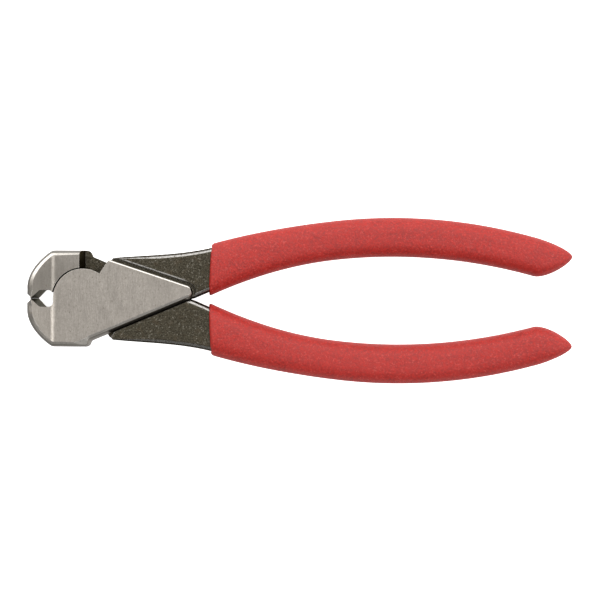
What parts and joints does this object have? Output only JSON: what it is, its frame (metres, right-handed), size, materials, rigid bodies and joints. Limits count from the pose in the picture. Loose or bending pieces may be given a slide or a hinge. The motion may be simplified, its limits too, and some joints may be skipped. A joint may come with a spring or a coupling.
{
  "type": "end cutting pliers",
  "caption": "End cutting pliers with forged lap-jointed levers, flared jaws with edges across the front, and dipped grips; closed at rest.",
  "frame": {"origin": "on the pivot's axis, on the flat ground underside of the joint", "axes": "+X from the pivot towards the handles, -X towards the jaws; +Y towards the upper lever's handle; +Z along the pivot, towards the upper lever's ground face"},
  "size_m": [0.1592, 0.0486, 0.0198],
  "materials": {
    "upper_lever_steel": "forged chrome-vanadium steel, dark oxide with ground lap and jaw faces",
    "lower_lever_steel": "forged chrome-vanadium steel, dark oxide with ground lap and jaw faces",
    "rivet_steel": "ground flush with the laps",
    "upper_grip_vinyl": "dipped vinyl with a fine grain",
    "lower_grip_vinyl": "dipped vinyl with a fine grain"
  },
  "bodies": {
    "lower_half": {"lower_lever": "lower_lever_steel", "lower_lever_grip": "lower_grip_vinyl"},
    "upper_half": {"upper_lever": "upper_lever_steel", "upper_lever_grip": "upper_grip_vinyl", "pivot_rivet": "rivet_steel"}
  },
  "joints": [
    {"name": "pivot", "type": "hinge", "parent": "lower_half", "child": "upper_half", "pos_m": [0, 0, 0.0062], "axis": [0, 0, 1], "range_deg": [0, 26]}
  ]
}
